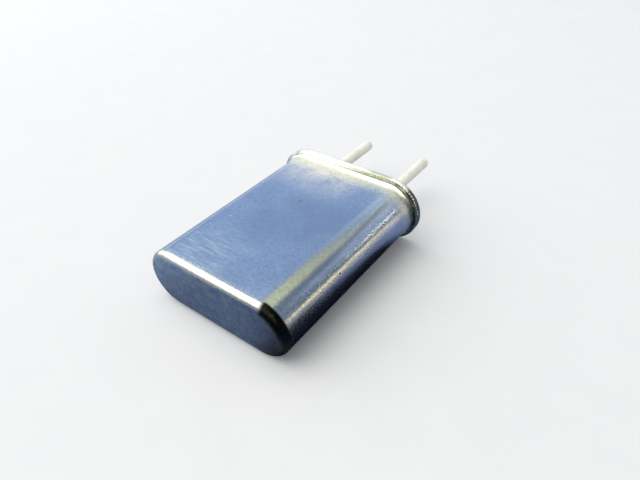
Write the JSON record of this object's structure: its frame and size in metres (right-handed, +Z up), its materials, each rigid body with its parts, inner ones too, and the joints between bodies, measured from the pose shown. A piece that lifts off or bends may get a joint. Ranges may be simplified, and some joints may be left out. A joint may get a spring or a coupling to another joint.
{
  "type": "quartz crystal unit",
  "caption": "Round-ended metal-can quartz crystal with a welded flange and a glass-sealed pair of plug-in pins, lying on its broad side.",
  "frame": {"origin": "on the ground under the middle of the part's box, with the can lying on its broad side", "axes": "+Y along the pins, away from the can; +Z up, through the can's thickness; +X along the row of the two pins"},
  "size_m": [0.011, 0.0198, 0.0044],
  "materials": {
    "can_metal": "satin",
    "header_metal": "satin",
    "seal_glass": "gloss",
    "pin_metal": "satin",
    "spring_metal": "satin",
    "quartz": "polished",
    "silver": "satin",
    "adhesive": "matte"
  },
  "bodies": {
    "root": {"can": "can_metal", "header": "header_metal", "glass_seal_left": "seal_glass", "glass_seal_right": "seal_glass", "pin_left": "pin_metal", "pin_right": "pin_metal", "clip_left": "spring_metal", "clip_right": "spring_metal", "quartz_blank": "quartz", "electrode_front": "silver", "electrode_back": "silver", "adhesive_left": "adhesive", "adhesive_right": "adhesive"}
  },
  "joints": []
}
